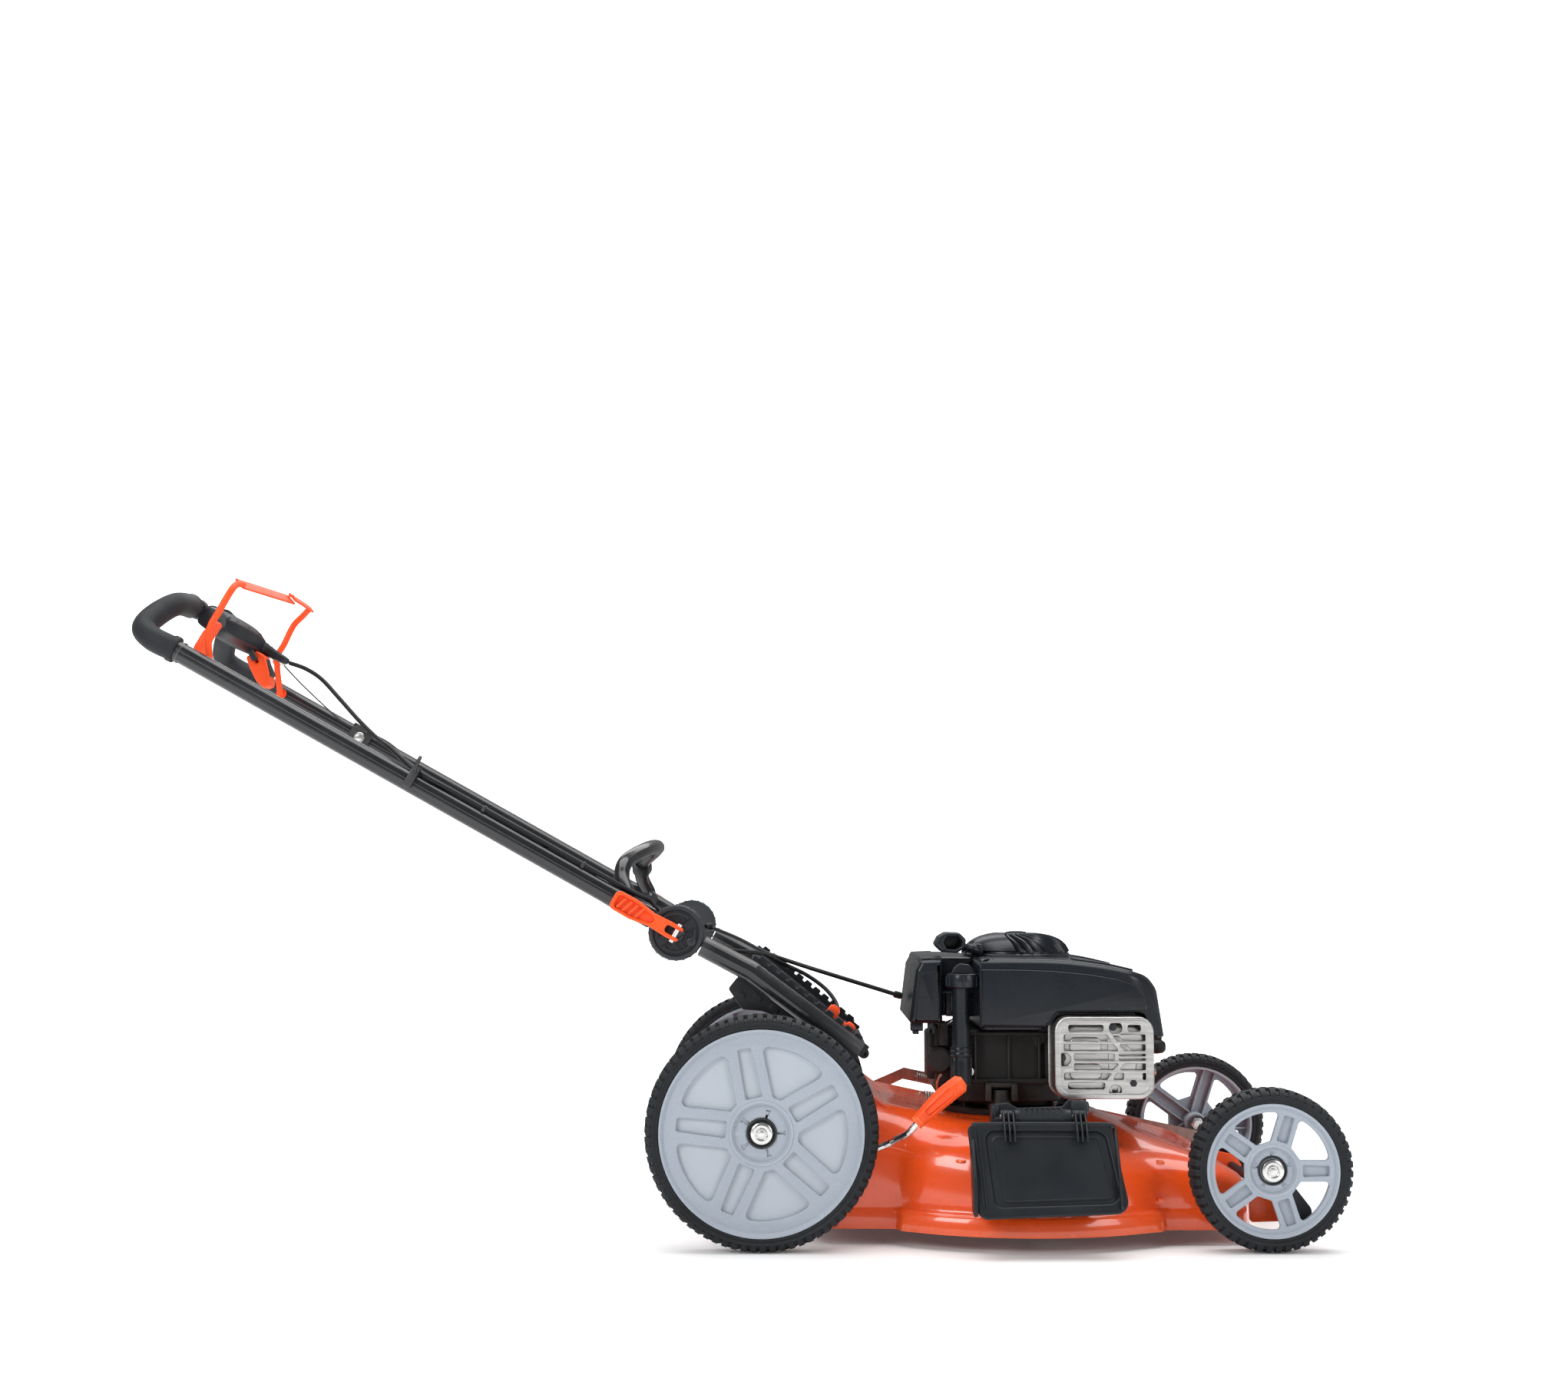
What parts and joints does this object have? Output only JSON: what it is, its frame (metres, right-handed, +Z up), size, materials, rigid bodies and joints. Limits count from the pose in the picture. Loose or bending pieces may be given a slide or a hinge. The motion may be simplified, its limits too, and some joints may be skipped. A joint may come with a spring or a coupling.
{
  "type": "push lawn mower",
  "caption": "Walk-behind petrol lawn mower: sheet-steel deck, high rear wheels, side discharge flap, folding handle with bail and cam levers, lever height adjustment.",
  "frame": {"origin": "on the ground, midway between the rear wheels below their axle", "axes": "+X forward, +Y to the operator's left, +Z up"},
  "size_m": [1.5955, 0.6019, 0.883],
  "materials": {
    "deck_orange": "gloss powder coat",
    "bracket_black": "satin paint",
    "bracket_orange": "gloss paint",
    "tube_black": "satin powder coat",
    "disc_black": "moulded",
    "bright_steel": "bright",
    "engine_casting": "as cast, dark",
    "cover_black": "satin moulded",
    "brushed_guard": "brushed",
    "cable_black": "smooth sheath",
    "flap_black": "moulded",
    "lever_orange": "moulded",
    "grip_foam": "soft moulded foam",
    "console_black": "satin",
    "bail_orange": "gloss paint",
    "blade_steel": "black paint",
    "strip_zinc": "dull zinc plate",
    "rim_grey": "moulded",
    "tyre_rubber": "moulded tread"
  },
  "bodies": {
    "chassis": {"deck": "deck_orange", "handle_brackets": "bracket_black", "axle_brackets": "bracket_orange", "lower_tubes": "tube_black", "lower_discs": "disc_black", "pivot_bolts": "bright_steel", "engine_block": "engine_casting", "engine_cover": "cover_black", "air_filter_cover": "cover_black", "recoil_housing": "cover_black", "oil_tube": "cover_black", "muffler": "bright_steel", "muffler_guard": "brushed_guard", "spark_plug": "cable_black", "engine_bolts": "bright_steel", "fuel_cap": "cover_black", "chute_hinge": "flap_black", "chute_pin": "bright_steel", "chute_spring": "bright_steel", "brake_cable_lower": "cable_black", "drive_cable_lower": "cable_black"},
    "door": {"rear_door": "flap_black", "door_latch": "lever_orange"},
    "handle": {"upper_tube_right": "tube_black", "upper_tube_left": "tube_black", "top_bar": "tube_black", "grips": "grip_foam", "console": "console_black", "hoop_brace": "tube_black", "cable_guides": "bracket_black", "bail_wire": "bright_steel", "upper_cables": "cable_black", "upper_discs": "disc_black"},
    "bail": {"bail": "bail_orange"},
    "drive_lever": {"drive_lever": "lever_orange"},
    "speed_lever": {"speed_lever": "lever_orange"},
    "cam_right": {"cam_lever_right": "lever_orange"},
    "cam_left": {"cam_lever_left": "lever_orange"},
    "chute": {"chute_flap": "flap_black"},
    "spindle": {"crankshaft": "bright_steel", "flywheel": "engine_casting", "blade": "blade_steel", "blade_bolt": "bright_steel"},
    "starter": {"starter_grip": "cover_black"},
    "dipstick": {"oil_cap": "cover_black"},
    "rear_crank": {"rear_axle": "bracket_black", "height_lever": "bright_steel", "lever_grip": "lever_orange", "rear_wheel_bolts": "bright_steel"},
    "front_crank": {"front_axle": "bracket_black", "front_wheel_bolts": "bright_steel"},
    "link": {"link_strip": "strip_zinc"},
    "rear_wheel_right": {"rear_rim_right": "rim_grey", "rear_tyre_right": "tyre_rubber"},
    "rear_wheel_left": {"rear_rim_left": "rim_grey", "rear_tyre_left": "tyre_rubber"},
    "front_wheel_right": {"front_rim_right": "rim_grey", "front_tyre_right": "tyre_rubber"},
    "front_wheel_left": {"front_rim_left": "rim_grey", "front_tyre_left": "tyre_rubber"}
  },
  "joints": [
    {"name": "handle_fold", "type": "hinge", "parent": "chassis", "child": "handle", "pos_m": [-0.112, 0, 0.403], "axis": [0, 1, 0], "range_deg": [0, 110]},
    {"name": "bail_squeeze", "type": "hinge", "parent": "handle", "child": "bail", "pos_m": [-0.73614, 0, 0.75182], "axis": [0, -1, 0], "range_deg": [0, 30], "stiffness_Nm_per_rad": 1, "springref_deg": -22.92},
    {"name": "drive_squeeze", "type": "hinge", "parent": "handle", "child": "drive_lever", "pos_m": [-0.752, -0.118, 0.82], "axis": [0, 1, 0], "range_deg": [0, 15], "stiffness_Nm_per_rad": 0.2, "springref_deg": -22.92},
    {"name": "speed_squeeze", "type": "hinge", "parent": "handle", "child": "speed_lever", "pos_m": [-0.736, 0.062, 0.786], "axis": [0, 1, 0], "range_deg": [0, 15], "stiffness_Nm_per_rad": 0.2, "springref_deg": -22.92},
    {"name": "cam_right_open", "type": "hinge", "parent": "chassis", "child": "cam_right", "pos_m": [-0.112, -0.243, 0.403], "axis": [0.4879, 0, 0.8729], "range_deg": [0, 110]},
    {"name": "cam_left_open", "type": "hinge", "parent": "chassis", "child": "cam_left", "pos_m": [-0.112, 0.243, 0.403], "axis": [-0.4879, 0, -0.8729], "range_deg": [0, 110]},
    {"name": "door_close", "type": "hinge", "parent": "chassis", "child": "door", "pos_m": [0.134, 0, 0.243], "axis": [0, -1, 0], "range_deg": [0, 88]},
    {"name": "chute_lift", "type": "hinge", "parent": "chassis", "child": "chute", "pos_m": [0.36, -0.243, 0.168], "axis": [-1, 0, 0], "range_deg": [0, 75], "stiffness_Nm_per_rad": 0.5, "springref_deg": -34.38},
    {"name": "blade_spin", "type": "hinge", "parent": "chassis", "child": "spindle", "pos_m": [0.35, 0, 0.1], "axis": [0, 0, 1], "continuous": true},
    {"name": "starter_pull", "type": "slide", "parent": "chassis", "child": "starter", "axis": [-0.9363, -0.1921, 0.2941], "range_m": [0, 0.38], "stiffness_N_per_m": 20, "springref_m": -0.3},
    {"name": "dipstick_lift", "type": "slide", "parent": "chassis", "child": "dipstick", "axis": [0, 0, 1], "range_m": [0, 0.12]},
    {"name": "height_adjust", "type": "hinge", "parent": "chassis", "child": "rear_crank", "pos_m": [0.045, 0, 0.092], "axis": [0, -1, 0], "range_deg": [0, 30]},
    {"name": "front_height", "type": "hinge", "parent": "chassis", "child": "front_crank", "pos_m": [0.695, 0, 0.0454], "axis": [0, -1, 0], "range_deg": [0, 30]},
    {"name": "link_pivot", "type": "hinge", "parent": "rear_crank", "child": "link", "pos_m": [0.06, 0.219, 0.119], "axis": [0, -1, 0], "range_deg": [-30, 0]},
    {"name": "rear_wheel_right_spin", "type": "hinge", "parent": "rear_crank", "child": "rear_wheel_right", "pos_m": [0, -0.253, 0.15], "axis": [0, 1, 0], "continuous": true},
    {"name": "front_wheel_right_spin", "type": "hinge", "parent": "front_crank", "child": "front_wheel_right", "pos_m": [0.65, -0.253, 0.1034], "axis": [0, 1, 0], "continuous": true},
    {"name": "rear_wheel_left_spin", "type": "hinge", "parent": "rear_crank", "child": "rear_wheel_left", "pos_m": [0, 0.253, 0.15], "axis": [0, 1, 0], "continuous": true},
    {"name": "front_wheel_left_spin", "type": "hinge", "parent": "front_crank", "child": "front_wheel_left", "pos_m": [0.65, 0.253, 0.1034], "axis": [0, 1, 0], "continuous": true}
  ],
  "couplings": [
    {"joint": "front_height", "follows": "height_adjust", "ratio": 1},
    {"joint": "link_pivot", "follows": "height_adjust", "ratio": -1}
  ]
}
